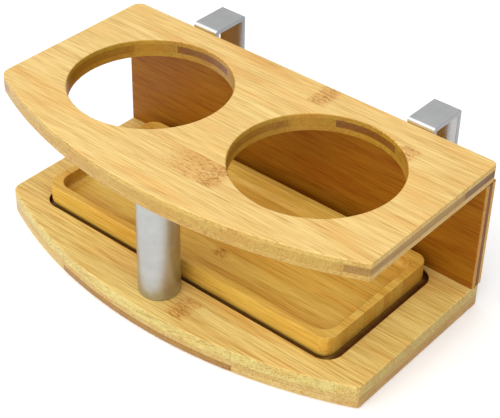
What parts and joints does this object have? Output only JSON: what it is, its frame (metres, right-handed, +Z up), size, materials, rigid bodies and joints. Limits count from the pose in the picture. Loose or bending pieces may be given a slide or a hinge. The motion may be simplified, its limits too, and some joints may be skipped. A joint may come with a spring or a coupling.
{
  "type": "razor stand",
  "caption": "Bowed double-deck bamboo stand with round holders in its top board, a lift-out tray below, a metal front post and strap hooks to hang it on a panel edge.",
  "frame": {"origin": "centre of the overall width and depth, on the underside of the base board", "axes": "+X to the right along the boards, -Y to the bowed front, +Z up"},
  "size_m": [0.28, 0.1815, 0.1056],
  "materials": {
    "bamboo_top": "satin lacquered carbonised bamboo, grain along X",
    "bamboo_base": "satin lacquered carbonised bamboo, grain along X",
    "bamboo_panel": "satin lacquered carbonised bamboo, grain along X",
    "bamboo_tray": "satin lacquered bamboo, darker than the boards",
    "dowel_wood": "plain hardwood dowel",
    "post_aluminium": "satin drawn",
    "hook_steel": "smooth, nearly polished",
    "screw_steel": "bright zinc plated"
  },
  "bodies": {
    "stand": {"top_board": "bamboo_top", "base_board": "bamboo_base", "back_panel": "bamboo_panel", "support_post": "post_aluminium", "post_top_stud": "screw_steel", "post_bottom_screw": "screw_steel", "post_washer": "screw_steel", "hook_left": "hook_steel", "hook_right": "hook_steel", "hook_screws_left": "screw_steel", "hook_screws_right": "screw_steel", "panel_dowels": "dowel_wood", "panel_base_screws": "screw_steel"},
    "tray": {"lift_tray": "bamboo_tray"}
  },
  "joints": [
    {"name": "tray_lift", "type": "slide", "parent": "stand", "child": "tray", "axis": [0, 0, 1], "range_m": [0, 0.06]}
  ]
}
